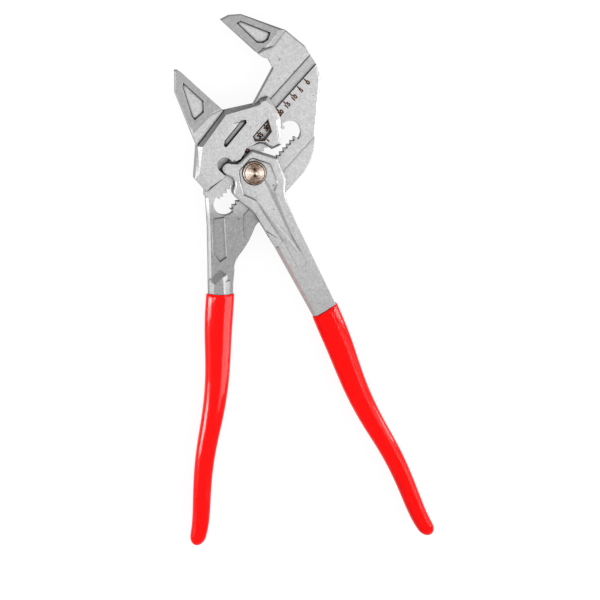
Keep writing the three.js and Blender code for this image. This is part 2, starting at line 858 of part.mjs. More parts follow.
// A toothed block above the disc catches in the slot, and drops out of it when the button is pressed
function pivotBolt() {
  const discTop = discHeight - plateOuter;
  const blockTop = discTop + blockHeight + boreFit;
  const blockTeeth = Math.ceil(blockRadius / toothPitch);
  const block = prism(rack(slotHalfWidth - toothFit, -blockTeeth, blockTeeth), discTop, blockTop)
    .intersect(cylinder(blockRadius, discTop, blockTop));
  return joined([
    cylinder(discRadius, -plateOuter, discTop),
    block,
    cylinder(shankRadius, discTop, underButton),
    cylinder(pinRadius, discTop, underButton + buttonWall - pinDrop),
  ]);
}

// Turned button: flat below with a groove for the spring, slightly dished on top
function pushButton() {
  const bottom = underButton;
  const top = underButton + buttonWall;
  const hole = pinRadius + boreFit;
  const eased = buttonEdge * (1 - Math.SQRT1_2);
  const grooveIn = springHigh - wireRadius - springSeat;
  const grooveOut = springLow + wireRadius + springSeat;
  const profile = [
    [hole, bottom],
    [grooveIn, bottom],
    [grooveIn, bottom + springGroove],
    [grooveOut, bottom + springGroove],
    [grooveOut, bottom],
    [buttonRadius, bottom],
    [buttonRadius, top - buttonEdge],
    [buttonRadius - eased, top - eased],
    [buttonRadius - buttonEdge, top],
    [hole + buttonEdge, top - buttonDish],
    [hole, top - buttonDish],
    [hole, bottom],
  ];
  const geometry = new THREE.LatheGeometry(profile.map(([x, y]) => new THREE.Vector2(x, y)), roundSides);
  geometry.rotateX(radians(90));
  return solid(geometry);
}

// A coil that narrows as it rises, so that its turns sink into one another
class Cone extends THREE.Curve {
  constructor(from, to, low, high, turns) {
    super();
    Object.assign(this, { from, to, low, high, turns });
  }

  getPoint(share, target = new THREE.Vector3()) {
    const angle = share * this.turns * radians(360);
    const radius = this.from + (this.to - this.from) * share;
    const height = this.low + (this.high - this.low) * share;
    return target.set(radius * Math.cos(angle), radius * Math.sin(angle), height);
  }
}

// Least gap between two turns of the wire, measured on points along it
function gapToItself(curve, turns) {
  const points = curve.getPoints(turns * stepsPerTurn);
  const apart = Math.floor(stepsPerTurn / 2);
  let least = Infinity;
  points.forEach((point, at) => {
    points.slice(at + apart).forEach((other) => {
      least = Math.min(least, point.distanceTo(other));
    });
  });
  return least - 2 * wireRadius;
}

function buttonSpring() {
  const low = seatHeight + springSeat + washerWall + springSeat + wireRadius;
  const high = underButton + springGroove - springSeat - wireRadius;
  const curve = new Cone(springLow, springHigh, low, high, springTurns);
  const section = new THREE.Shape(Array.from({ length: wireSides }, (_, step) => {
    const angle = (step / wireSides) * radians(360);
    return new THREE.Vector2(wireRadius * Math.cos(angle), wireRadius * Math.sin(angle));
  }));
  const geometry = new THREE.ExtrudeGeometry(section, {
    steps: stepsPerTurn * springTurns,
    extrudePath: curve,
    bevelEnabled: false,
  });
  console.log(`button_spring: least gap between turns ${gapToItself(curve, springTurns).toFixed(2)} mm`);
  return solid(geometry);
}

function springWasher() {
  const low = seatHeight + springSeat;
  return cylinder(buttonRadius, low, low + washerWall)
    .subtract(cylinder(shankRadius + boreFit, 0, plateOuter));
}

// Scene graph

function steel(roughness) {
  return new THREE.MeshStandardMaterial({ color: steelColour, roughness, metalness: 0.85 });
}

function coatMaterial() {
  return new THREE.MeshStandardMaterial({ color: coatColour, roughness: 0.25, metalness: 0 });
}

function bronze() {
  return new THREE.MeshStandardMaterial({ color: bronzeColour, roughness: 0.3, metalness: 1 });
}

function piece(name, body, material) {
  const mesh = new THREE.Mesh(geometryOf(body), material);
  mesh.name = name;
  return mesh;
}

const pliers = new THREE.Group();
pliers.position.z = plateOuter;

const arm = new THREE.Group();
const armCoat = piece('fixed_arm_grip', coat(1), coatMaterial());
armCoat.position.set(leftMouth.x, leftMouth.y, 0);
armCoat.rotation.z = leftTilt;
arm.add(piece('fixed_jaw_arm', fixedArm(), steel(0.5)), armCoat);

const slide = new THREE.Group();
slide.rotation.z = slideAngle;
slide.add(
  piece('sliding_jaw', slidingJaw(), steel(0.5)),
  piece('pivot_bolt', pivotBolt(), steel(0.35)),
  piece('push_button', pushButton(), bronze()),
  piece('button_spring', buttonSpring(), steel(0.3)),
  piece('spring_washer', springWasher(), steel(0.3)),
);

const lever = new THREE.Group();
lever.rotation.z = leverAngle;
const leverCoat = piece('lever_grip', coat(-1), coatMaterial());
leverCoat.position.set(leverMouth.x, leverMouth.y, 0);
leverCoat.rotation.z = leverTilt;
lever.add(piece('lever_arm', leverArm(), steel(0.5)), leverCoat);

pliers.add(arm, slide, lever);

export default pliers;
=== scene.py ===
import math

import bmesh
import bpy
from bpy.props import FloatProperty, FloatVectorProperty, IntProperty, PointerProperty
from mathutils import Matrix, Quaternion, Vector


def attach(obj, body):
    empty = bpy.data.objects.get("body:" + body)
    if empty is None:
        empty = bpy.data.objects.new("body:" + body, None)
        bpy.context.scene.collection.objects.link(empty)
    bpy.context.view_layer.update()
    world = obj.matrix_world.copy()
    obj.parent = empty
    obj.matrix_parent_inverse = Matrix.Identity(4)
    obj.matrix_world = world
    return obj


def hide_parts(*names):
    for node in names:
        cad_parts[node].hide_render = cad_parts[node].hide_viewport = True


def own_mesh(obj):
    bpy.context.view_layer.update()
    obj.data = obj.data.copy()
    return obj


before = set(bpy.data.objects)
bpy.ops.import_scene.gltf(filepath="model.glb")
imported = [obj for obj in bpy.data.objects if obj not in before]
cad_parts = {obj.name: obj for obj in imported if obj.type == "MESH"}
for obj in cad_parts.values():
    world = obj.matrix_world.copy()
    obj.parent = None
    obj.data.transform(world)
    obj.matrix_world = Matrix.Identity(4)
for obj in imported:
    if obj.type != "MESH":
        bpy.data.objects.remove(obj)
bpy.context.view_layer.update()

bl_info = {
    "name": "Adjustable pliers",
    "version": (1, 0, 0),
    "blender": (4, 5, 0),
    "location": "3D Viewport > Sidebar > Pliers",
    "description": "Dresses the packed pliers: forged arms, dipped grips, turned button, scale and stage",
    "category": "Object",
}

MM = 0.001

# The slide leans this far from the x axis, and its frame turns about the pivot
SLIDE_ANGLE = math.radians(47.5)

# Tops of the fixed arm and of the sliding jaw's front plate, where the marking lies
ARM_FACE = 10.2 * MM
PLATE_FACE = 14.4 * MM

# Middle of the tool's thickness, and how far from it the slide's grooves have their floors
HALF_HEIGHT = 7.2 * MM
GROOVE_LEVEL = 2.0 * MM

# Directions that tapers, walls and chamfers face, which set their painted shade: across the slide, to the jaws,
# to the grips
JAW_SIDE = (-0.737, 0.676, 0.0)
FAR_SIDE = (-0.25, 0.97, 0.0)
NEAR_SIDE = (0.15, -0.99, 0.0)

# The two dimples in the button's face, about its middle
DIMPLES = ((-0.1 * MM, 2.0 * MM), (0.1 * MM, -1.2 * MM))


# Mesh helpers

# Corners of a copy that lie closer than this are one corner
MERGE_REACH = 0.002 * MM

# A face of a forging is broad from this area on, if it faces up or down by this much
BROAD_AREA = 3 * MM * MM
BROAD_TILT = 0.5

# Turns between neighbouring faces: still one flat, a shallow ridge, a worn edge, the arch's edge
FLAT_TURN = math.radians(0.4)
RIDGE_TURN = math.radians(1)
WORN_TURN = math.radians(28)
ARCH_TURN = math.radians(60)

# Box round the upper edge of the plate's arch, and how far an edge may lie outside it or off its level
ARCH_BOX = ((-0.39 * MM, 12.61 * MM, 0), (8.59 * MM, 14.57 * MM, PLATE_FACE))
ARCH_SLACK = 0.1 * MM
ARCH_LEVEL = 0.02 * MM

# Turns up to which a finished surface is shaded as one
FORGED_SMOOTH = math.radians(52)
ROUND_SMOOTH = math.radians(60)
CAP_SMOOTH = math.radians(12)


def deselect_all():
    if bpy.context.mode != "OBJECT":
        bpy.ops.object.mode_set(mode="OBJECT")
    bpy.ops.object.select_all(action="DESELECT")


def make_active(piece):
    deselect_all()
    piece.select_set(True)
    bpy.context.view_layer.objects.active = piece


def apply_place(piece):
    make_active(piece)
    bpy.ops.object.transform_apply(location=True, rotation=True, scale=True)


def apply_modifier(piece, kind, **values):
    make_active(piece)
    modifier = piece.modifiers.new(kind.lower(), kind)
    for name, value in values.items():
        setattr(modifier, name, value)
    bpy.ops.object.modifier_apply(modifier=modifier.name)


def merged_copy(node_name, piece_name, reach=MERGE_REACH):
    """A copy of a CAD node's mesh as a new piece, with its loose triangles joined."""
    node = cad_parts[node_name]
    piece = bpy.data.objects.new(piece_name, node.data.copy())
    bpy.context.scene.collection.objects.link(piece)
    make_active(piece)
    bpy.ops.object.mode_set(mode="EDIT")
    bpy.ops.mesh.select_all(action="SELECT")
    bpy.ops.mesh.remove_doubles(threshold=reach)
    bpy.ops.object.mode_set(mode="OBJECT")
    return piece


def is_broad_face(face):
    return abs(face.normal.z) > BROAD_TILT and face.calc_area() > BROAD_AREA


def join_flats(piece):
    """Joins the flat triangles into whole faces."""
    make_active(piece)
    bpy.ops.object.mode_set(mode="EDIT")
    bpy.ops.mesh.select_all(action="SELECT")
    bpy.ops.mesh.dissolve_limited(angle_limit=FLAT_TURN)
    bpy.ops.object.mode_set(mode="OBJECT")


def is_on_arch(edge):
    """Whether both ends of an edge lie on the plate's face and within the arch's box."""
    level = all(abs(vertex.co.z - PLATE_FACE) < ARCH_LEVEL for vertex in edge.verts)
    inside = all(
        low - ARCH_SLACK < value < high + ARCH_SLACK
        for vertex in edge.verts
        for low, value, high in zip(ARCH_BOX[0], vertex.co, ARCH_BOX[1])
    )
    return level and inside


def chamfer_arch(piece, width):
    """Breaks the upper edge of the plate's arch over the lever's hub."""
    make_active(piece)
    bpy.ops.object.mode_set(mode="EDIT")
    bpy.ops.mesh.select_all(action="DESELECT")
    shape = bmesh.from_edit_mesh(piece.data)
    for edge in shape.edges:
        edge.select = is_on_arch(edge) and edge.calc_face_angle(0) > ARCH_TURN
    bmesh.update_edit_mesh(piece.data)
    bpy.ops.mesh.bevel(offset=width, offset_type="OFFSET", segments=1, affect="EDGES")
    bpy.ops.object.mode_set(mode="OBJECT")


def even_net(piece):
    """Keeps shallow ridges sharp and lays an even net over each flat face."""
    make_active(piece)
    bpy.ops.object.mode_set(mode="EDIT")
    bpy.ops.mesh.select_all(action="DESELECT")
    shape = bmesh.from_edit_mesh(piece.data)
    for edge in shape.edges:
        if len(edge.link_faces) == 2 and all(is_broad_face(face) for face in edge.link_faces):
            edge.select = edge.calc_face_angle() > RIDGE_TURN
    bmesh.update_edit_mesh(piece.data)
    bpy.ops.mesh.mark_sharp()
    bpy.ops.mesh.select_all(action="SELECT")
    bpy.ops.mesh.quads_convert_to_tris(quad_method="BEAUTY", ngon_method="BEAUTY")
    bpy.ops.object.mode_set(mode="OBJECT")


def dress(piece, material):
    piece.data.materials.clear()
    piece.data.materials.append(material)


def finish_piece(piece, material, body, smooth_turn):
    dress(piece, material)
    make_active(piece)
    bpy.ops.object.shade_smooth_by_angle(angle=smooth_turn, keep_sharp_edges=True)
    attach(piece, body)


# Material helpers

# Where a noise pattern starts and stops to count, and the span of a plain share
PATTERN_SPAN = (0.3, 0.7)
WHOLE_SPAN = (0.0, 1.0)

# Rays that feel for other surfaces from each point
FEELER_RAYS = 12

# Sockets of Blender's Mix node for colours and for values: share, first and second, then the result
COLOUR_SOCKETS = (0, 6, 7)
COLOUR_RESULT = 2
VALUE_SOCKETS = (0, 2, 3)
VALUE_RESULT = 0


def new_material(name):
    material = bpy.data.materials.new(name)
    material.use_nodes = True
    tree = material.node_tree
    shader = tree.nodes["Principled BSDF"]
    return material, tree, shader


def add_node(tree, kind, **values):
    made = tree.nodes.new(kind)
    for name, value in values.items():
        setattr(made, name, value)
    return made


def fill_socket(tree, socket, value):
    """Links a node's output to a socket, or writes a number or a colour into it."""
    if isinstance(value, bpy.types.NodeSocket):
        tree.links.new(value, socket)
    elif isinstance(value, (int, float)):
        socket.default_value = value
    else:
        socket.default_value = (*value, 1.0)


def noise(tree, coordinates, scale, detail=2.0, roughness=0.55):
    made = add_node(tree, "ShaderNodeTexNoise")
    made.inputs["Scale"].default_value = scale
    made.inputs["Detail"].default_value = detail
    made.inputs["Roughness"].default_value = roughness
    tree.links.new(coordinates, made.inputs["Vector"])
    return made.outputs["Fac"]


def map_range(tree, value, span, result=WHOLE_SPAN):
    """Turns a value that runs over the span into one that runs over the result."""
    made = add_node(tree, "ShaderNodeMapRange")
    made.inputs["From Min"].default_value = span[0]
    made.inputs["From Max"].default_value = span[1]
    made.inputs["To Min"].default_value = result[0]
    made.inputs["To Max"].default_value = result[1]
    tree.links.new(value, made.inputs["Value"])
    return made.outputs["Result"]


def around(middle, swing):
    return middle - swing, middle + swing


def math_node(tree, operation, *values):
    made = add_node(tree, "ShaderNodeMath", operation=operation)
    for socket, value in zip(made.inputs, values):
        fill_socket(tree, socket, value)
    return made.outputs["Value"]


def product(tree, first, *others):
    for other in others:
        first = math_node(tree, "MULTIPLY", first, other)
    return first


def mix_colour(tree, share, first, second, blend="MIX"):
    made = add_node(tree, "ShaderNodeMix", data_type="RGBA", blend_type=blend)
    for place, value in zip(COLOUR_SOCKETS, (share, first, second)):
        fill_socket(tree, made.inputs[place], value)
    return made.outputs[COLOUR_RESULT]


def mix_value(tree, share, first, second):
    made = add_node(tree, "ShaderNodeMix", data_type="FLOAT")
    for place, value in zip(VALUE_SOCKETS, (share, first, second)):
        fill_socket(tree, made.inputs[place], value)
    return made.outputs[VALUE_RESULT]


def tinted(tree, colour, tone):
    """A colour made lighter or darker by a tone."""
    grey = add_node(tree, "ShaderNodeCombineColor")
    for socket in grey.inputs:
        tree.links.new(tone, socket)
    return mix_colour(tree, 1.0, colour, grey.outputs["Color"], "MULTIPLY")


def bump(tree, height, distance):
    made = add_node(tree, "ShaderNodeBump")
    made.inputs["Distance"].default_value = distance
    tree.links.new(height, made.inputs["Height"])
    return made.outputs["Normal"]


def occlusion(tree, reach, local):
    """One in the open, less near other surfaces."""
    made = add_node(tree, "ShaderNodeAmbientOcclusion", only_local=local, samples=FEELER_RAYS)
    made.inputs["Distance"].default_value = reach
    return made.outputs["AO"]


def axis_value(tree, vector, axis):
    made = add_node(tree, "ShaderNodeSeparateXYZ")
    tree.links.new(vector, made.inputs["Vector"])
    return made.outputs[axis]


def facing_share(tree, normal, direction, span, result=WHOLE_SPAN):
    """Runs over the result as a surface turns towards the direction."""
    made = add_node(tree, "ShaderNodeVectorMath", operation="DOT_PRODUCT")
    tree.links.new(normal, made.inputs[0])
    made.inputs[1].default_value = direction
    return map_range(tree, made.outputs["Value"], span, result)


# Forged steel

# From a wall to a face, by how level it is, and from a plain wall to one on the jaws' side, for the painted
# shade on the walls
FACE_SPAN = (0.15, 0.6)
FAR_WALL_SPAN = (0.65, 0.8)

# Painted shade falls on a taper that is nearly level and leans a little to the jaws' side
TAPER_LEVEL_SPAN = (0.93, 0.97)
TAPER_LEAN_SPAN = (0.01, 0.022)

# How far a chamfer turns to the jaws' or the grips' side before its painted shade starts
FAR_CHAMFER_SPAN = (0.2, 0.45)
NEAR_CHAMFER_SPAN = (0.45, 0.6)

# Detail and roughness of the patterns, and the tones of the broad patches and the specks
SKIN_DETAIL = 3.0
MOTTLE_ROUGHNESS = 0.7
SPECK_ROUGHNESS = 0.5
SPECK_SPAN = (0.7, 0.76)
SPECK_TONE = 0.45
BROAD_CONTRAST = 0.03
STEEL_ROUGHNESS_SWING = 0.05

# How far from its floor's level the painted shade of a groove ends, and where each neck grows darker along the y
# axis
GROOVE_SPAN = (0.2 * MM, 0.3 * MM)
ARM_NECK_SPAN = (-22 * MM, -14 * MM)
LEVER_NECK_SPAN = (-70 * MM, 0)

# Openness from painted shade in a crease to unshaded steel, and from painted shade where two pieces meet
FACE_CREASE_SPAN = (0.65, 0.97)
WALL_CREASE_SPAN = (0.7, 0.97)
CONTACT_SHADE_SPAN = (0.42, 0.74)


def skin_tone(tree, at, grain, settings):
    """Tone of the forged skin: grain, mottle, broad patches and dark specks."""
    mottle = noise(tree, at, settings.mottle_scale, SKIN_DETAIL, MOTTLE_ROUGHNESS)
    broad = noise(tree, at, settings.tone_scale)
    speck = noise(tree, at, settings.speck_scale, roughness=SPECK_ROUGHNESS)
    return product(
        tree,
        map_range(tree, grain, PATTERN_SPAN, around(1.0, settings.grain_contrast)),
        map_range(tree, mottle, PATTERN_SPAN, around(1.0, settings.mottle_contrast)),
        map_range(tree, broad, PATTERN_SPAN, around(1.0, BROAD_CONTRAST)),
        map_range(tree, speck, SPECK_SPAN, (1.0, SPECK_TONE)),
    )


def ground_tone(tree, normal, level, settings):
    """Painted shade on the tapers and chamfers, by the side that they face."""
    nearly_level = map_range(tree, level, TAPER_LEVEL_SPAN)
    taper = product(tree, facing_share(tree, normal, JAW_SIDE, TAPER_LEAN_SPAN), nearly_level)
    return product(
        tree,
        map_range(tree, taper, WHOLE_SPAN, (1.0, settings.taper_tone)),
        facing_share(tree, normal, FAR_SIDE, FAR_CHAMFER_SPAN, (1.0, settings.chamfer_tone)),
        facing_share(tree, normal, NEAR_SIDE, NEAR_CHAMFER_SPAN, (1.0, settings.near_tone)),
    )


def groove_tone(tree, at, settings):
    """Painted shade on the floors of the slide's grooves, in front of and behind the arm's middle."""
    height = math_node(tree, "SUBTRACT", axis_value(tree, at, "Z"), HALF_HEIGHT)
    from_middle = math_node(tree, "ABSOLUTE", height)
    from_floor = math_node(tree, "ABSOLUTE", math_node(tree, "SUBTRACT", from_middle, GROOVE_LEVEL))
    return map_range(tree, from_floor, GROOVE_SPAN, (settings.groove_tone, 1.0))


def open_share(tree, face_share, settings):
    """One on open steel, none where shade is painted into creases and where two pieces meet."""
    crease = occlusion(tree, settings.crease_reach, True)
    open_wall = map_range(tree, crease, WALL_CREASE_SPAN)
    open_face = map_range(tree, crease, FACE_CREASE_SPAN)
    contact_open = map_range(tree, occlusion(tree, settings.contact_reach, False), CONTACT_SHADE_SPAN)
    return product(tree, mix_value(tree, face_share, open_wall, open_face), contact_open)


def forged_steel_material(settings, name, neck_span, neck_tone, with_groove_shade):
    """Satin plated forging: fine mottled grain, with painted shade on the tapers, chamfers, walls, grooves and
    creases.
    """
    material, tree, shader = new_material(name)
    place = add_node(tree, "ShaderNodeTexCoord")
    at = place.outputs["Object"]
    normal = place.outputs["Normal"]
    level = math_node(tree, "ABSOLUTE", axis_value(tree, normal, "Z"))
    face_share = map_range(tree, level, FACE_SPAN)
    # Painted shade: walls darker than the faces, and darkest on the jaws' side
    far_wall_shade_share = facing_share(tree, normal, FAR_SIDE, FAR_WALL_SPAN)
    wall = mix_colour(tree, far_wall_shade_share, settings.side_colour, settings.far_side_colour)
    base = mix_colour(tree, face_share, wall, settings.face_colour)
    grain = noise(tree, at, settings.grain_scale, SKIN_DETAIL)
    tone = product(
        tree,
        skin_tone(tree, at, grain, settings),
        ground_tone(tree, normal, level, settings),
        map_range(tree, axis_value(tree, at, "Y"), neck_span, (neck_tone, 1.0)),
    )
    # Painted shade on the floors of the slide's grooves
    if with_groove_shade:
        tone = product(tree, tone, groove_tone(tree, at, settings))
    unshaded = tinted(tree, base, tone)
    # Painted shade in creases and where two pieces meet
    coloured = mix_colour(tree, open_share(tree, face_share, settings), settings.crease_colour, unshaded)
    tree.links.new(coloured, shader.inputs["Base Color"])
    shader.inputs["Metallic"].default_value = 1.0
    rough = map_range(tree, grain, PATTERN_SPAN, around(settings.roughness, STEEL_ROUGHNESS_SWING))
    tree.links.new(rough, shader.inputs["Roughness"])
    tree.links.new(bump(tree, grain, settings.grain_height), shader.inputs["Normal"])
    return material


# Plain steel of the bolt and the spring

DRAWN_SCALE = 2500
DRAWN_TONES = (0.9, 1.08)
DRAWN_SMOOTHER = 0.04
DRAWN_ROUGHER = 0.06


def plain_steel_material(name, colour, roughness):
    """Turned or drawn steel with a faint drawn grain."""
    material, tree, shader = new_material(name)
    place = add_node(tree, "ShaderNodeTexCoord")
    grain = noise(tree, place.outputs["Object"], DRAWN_SCALE)
    toned = tinted(tree, colour, map_range(tree, grain, PATTERN_SPAN, DRAWN_TONES))
    tree.links.new(toned, shader.inputs["Base Color"])
    shader.inputs["Metallic"].default_value = 1.0
    rough = map_range(tree, grain, PATTERN_SPAN, (roughness - DRAWN_SMOOTHER, roughness + DRAWN_ROUGHER))
    tree.links.new(rough, shader.inputs["Roughness"])
    return material


# Dipped vinyl

COAT_WAVE_SPAN = (0.35, 0.65)
COAT_BLOOM_SCALE = 900
COAT_SMOOTHER = 0.03
COAT_ROUGHER = 0.04
COAT_SPECULAR = 0.1


def dipped_coat_material(settings):
    """Glossy dipped vinyl: deep red, a slow wave in the skin and a fine change of gloss."""
    material, tree, shader = new_material("dipped_vinyl_red")
    place = add_node(tree, "ShaderNodeTexCoord")
    wave = noise(tree, place.outputs["Object"], settings.wave_scale)
    bloom = noise(tree, place.outputs["Object"], COAT_BLOOM_SCALE)
    wave_share = map_range(tree, wave, COAT_WAVE_SPAN)
    coloured = mix_colour(tree, wave_share, settings.deep_colour, settings.colour)
    tree.links.new(coloured, shader.inputs["Base Color"])
    gloss = (settings.roughness - COAT_SMOOTHER, settings.roughness + COAT_ROUGHER)
    tree.links.new(map_range(tree, bloom, PATTERN_SPAN, gloss), shader.inputs["Roughness"])
    shader.inputs["Specular IOR Level"].default_value = COAT_SPECULAR
    tree.links.new(bump(tree, wave, settings.wave_height), shader.inputs["Normal"])
    return material


# Turned bronze

# Painted sheen, bright by how far a point lies to the left or right and not up or down
SHEEN_SPAN = (0.2, 0.7)
SHEEN_TONES = (0.0, 0.55)

# Worn patches, and what they add to the brightness and the roughness
PATCH_SCALE = 1100
PATCH_DETAIL = 4.0
PATCH_ROUGHNESS = 0.7
PATCH_SPAN = (0.38, 0.62)
PATCH_TONES = (-0.3, 0.4)
BRONZE_ROUGHNESS_SPAN = (0.35, 0.65)
BRONZE_ROUGHNESS = (0.42, 0.26)
BRONZE_ANISOTROPY = 0.6

# Painted shade: shares of the dimple's ball from its middle, and the reach and openness of the grooves
DIMPLE_SHADE = (0.4, 1.1)
RING_REACH = 0.5 * MM
RING_SHADE_SPAN = (0.55, 0.9)


def dimple_distance(tree, flat_place, dimple):
    away = add_node(tree, "ShaderNodeVectorMath", operation="DISTANCE")
    tree.links.new(flat_place, away.inputs[0])
    away.inputs[1].default_value = (*dimple, 0)
    return away.outputs["Value"]


def turned_bronze_material(settings):
    """Face-turned bronze: a painted sheen bright on two sides and dark on the others, worn patches, and painted
    shade in the grooves and the dimples.
    """
    material, tree, shader = new_material("turned_bronze")
    place = add_node(tree, "ShaderNodeTexCoord")
    at = place.outputs["Object"]
    across = axis_value(tree, at, "X")
    along = axis_value(tree, at, "Y")
    across_squared = product(tree, across, across)
    away_squared = math_node(tree, "ADD", across_squared, product(tree, along, along))
    sideways = math_node(tree, "DIVIDE", across_squared, away_squared)
    # Painted sheen: bright to the left and right of the middle, dark above and below it
    painted_sheen = map_range(tree, sideways, SHEEN_SPAN, SHEEN_TONES)
    patches = noise(tree, at, PATCH_SCALE, PATCH_DETAIL, PATCH_ROUGHNESS)
    worn = map_range(tree, patches, PATCH_SPAN, PATCH_TONES)
    bright = map_range(tree, math_node(tree, "ADD", painted_sheen, worn), WHOLE_SPAN)
    toned = mix_colour(tree, bright, settings.dark_colour, settings.colour)
    flat = add_node(tree, "ShaderNodeCombineXYZ")
    tree.links.new(across, flat.inputs["X"])
    tree.links.new(along, flat.inputs["Y"])
    dimple_shade_span = [settings.dimple_ball * share for share in DIMPLE_SHADE]
    # Painted shade in each dimple
    for dimple in DIMPLES:
        unshaded = map_range(tree, dimple_distance(tree, flat.outputs["Vector"], dimple), dimple_shade_span)
        toned = mix_colour(tree, unshaded, settings.soot_colour, toned)
    # Painted shade in the turned grooves
    ring = map_range(tree, occlusion(tree, RING_REACH, True), RING_SHADE_SPAN)
    toned = mix_colour(tree, ring, settings.soot_colour, toned)
    tree.links.new(toned, shader.inputs["Base Color"])
    shader.inputs["Metallic"].default_value = 1.0
    shader.inputs["Anisotropic"].default_value = BRONZE_ANISOTROPY
    tangent = add_node(tree, "ShaderNodeTangent", direction_type="RADIAL", axis="Z")
    tree.links.new(tangent.outputs["Tangent"], shader.inputs["Tangent"])
    rough = map_range(tree, patches, BRONZE_ROUGHNESS_SPAN, BRONZE_ROUGHNESS)
    tree.links.new(rough, shader.inputs["Roughness"])
    return material


# Etched marking

BLOTCH_SCALE = 2600
BLOTCH_DETAIL = 3.0
BLOTCH_SPAN = (0.4, 0.6)
ETCHED_ROUGHNESS = (0.55, 0.75)
ETCHED_SPECULAR = 0.2


def etched_material(settings, colour):
    """Laser etched brown marking, blotchy and matt; the same finish gives the brown-tinted painted shade round
    the window.
    """
    material, tree, shader = new_material("etched_marking_and_rim_shade")
    place = add_node(tree, "ShaderNodeTexCoord")
    blotch = noise(tree, place.outputs["Object"], BLOTCH_SCALE, BLOTCH_DETAIL)
    coloured = mix_colour(tree, map_range(tree, blotch, BLOTCH_SPAN), settings.ink_dark, colour)
    tree.links.new(coloured, shader.inputs["Base Color"])
    shader.inputs["Metallic"].default_value = 0.0
    rough = map_range(tree, blotch, PATTERN_SPAN, ETCHED_ROUGHNESS)
    tree.links.new(rough, shader.inputs["Roughness"])
    shader.inputs["Specular IOR Level"].default_value = ETCHED_SPECULAR
    return material


# Settings

def length_property(name, description, millimetres):
    return FloatProperty(name=name, description=description, default=millimetres * MM, unit="LENGTH")


def share_property(name, description, default, least=0):
    return FloatProperty(name=name, description=description, default=default, min=least, max=1)


def scale_property(name, description, default):
    return FloatProperty(name=name, description=description + " along a metre", default=default, min=1)


def colour_property(name, description, default):
    return FloatVectorProperty(
        name=name, description=description, default=default, size=3, subtype="COLOR", min=0, max=1
    )


def count_property(name, description, default, least=1, most=1000):
    return IntProperty(name=name, description=description, default=default, min=least, max=most)


class PliersSteelSettings(bpy.types.PropertyGroup):
    """Plating, wear, painted shade and edges of the forgings"""
    face_colour: colour_property("Face colour", "Reflection colour of the plated faces", (0.51, 0.51, 0.51))
    # Painted shade on the side walls, darkest on the jaws' side
    side_colour: colour_property("Side colour", "Reflection colour of the side walls", (0.38, 0.376, 0.372))
    far_side_colour: colour_property("Far side colour", "Side walls on the jaws' side", (0.1, 0.099, 0.097))
    # Painted shade in creases and inner corners
    crease_colour: colour_property("Crease colour", "Creases and inner corners", (0.035, 0.03, 0.028))
    roughness: share_property("Roughness", "Mean roughness of the plated faces", 0.4)
    grain_scale: scale_property("Grain scale", "Blasted grains", 1500)
    grain_contrast: share_property("Grain contrast", "Tone change between grains", 0.16)
    grain_height: length_property("Grain height", "Depth of the blasted grain", 0.012)
    mottle_scale: scale_property("Mottle scale", "Mottled patches", 620)
    mottle_contrast: share_property("Mottle contrast", "Tone change of the mottle", 0.1)
    speck_scale: scale_property("Speck scale", "Dark specks", 420)
    tone_scale: scale_property("Tone scale", "Broad patches", 90)
    # How far the painted shade reaches in creases and between pieces
    crease_reach: length_property("Crease reach", "How far creases darken", 1.5)
    contact_reach: length_property("Contact reach", "How far pieces darken each other", 1.5)
    edge_round: length_property("Edge round", "Width of the worn edges", 0.13)
    merge_reach: length_property("Merge reach", "Edges shorter than this are merged", 0.1)
    arch_chamfer: length_property("Arch chamfer", "Width of the chamfer along the plate's arch", 0.9)
    # Painted shade on the tapers and on the chamfers facing the jaws' and the grips' sides
    taper_tone: share_property("Taper tone", "Tone of the ground tapers", 0.7)
    chamfer_tone: share_property("Chamfer tone", "Tone of the chamfers on the jaws' side", 0.45)
    near_tone: share_property("Near tone", "Tone of the chamfers on the grips' side", 0.5)
    # Painted shade on the grooves' floors
    groove_tone: share_property("Groove tone", "Tone of the slide's grooves", 0.86)
    # Each neck is made darker towards its grip
    arm_tone: share_property("Arm tone", "Tone of the fixed arm's duller neck", 0.6)
    lever_tone: share_property("Lever tone", "Tone of the lever's duller neck", 0.76)


class PliersCoatSettings(bpy.types.PropertyGroup):
    """Colour, gloss and skin of the dipped coats"""
    colour: colour_property("Colour", "Colour of the dipped coat", (1.0, 0.0006, 0.0004))
    deep_colour: colour_property("Deep colour", "Darker patches of the coat", (0.9, 0.0004, 0.0003))
    roughness: share_property("Roughness", "Mean roughness of the coat", 0.08)
    wave_scale: scale_property("Wave scale", "Waves of the skin", 45)
    wave_height: length_property("Wave height", "Height of the skin's waves", 0.15)
    smoothing: count_property("Smoothing", "Subdivision levels of the coats", 2, 0, 3)


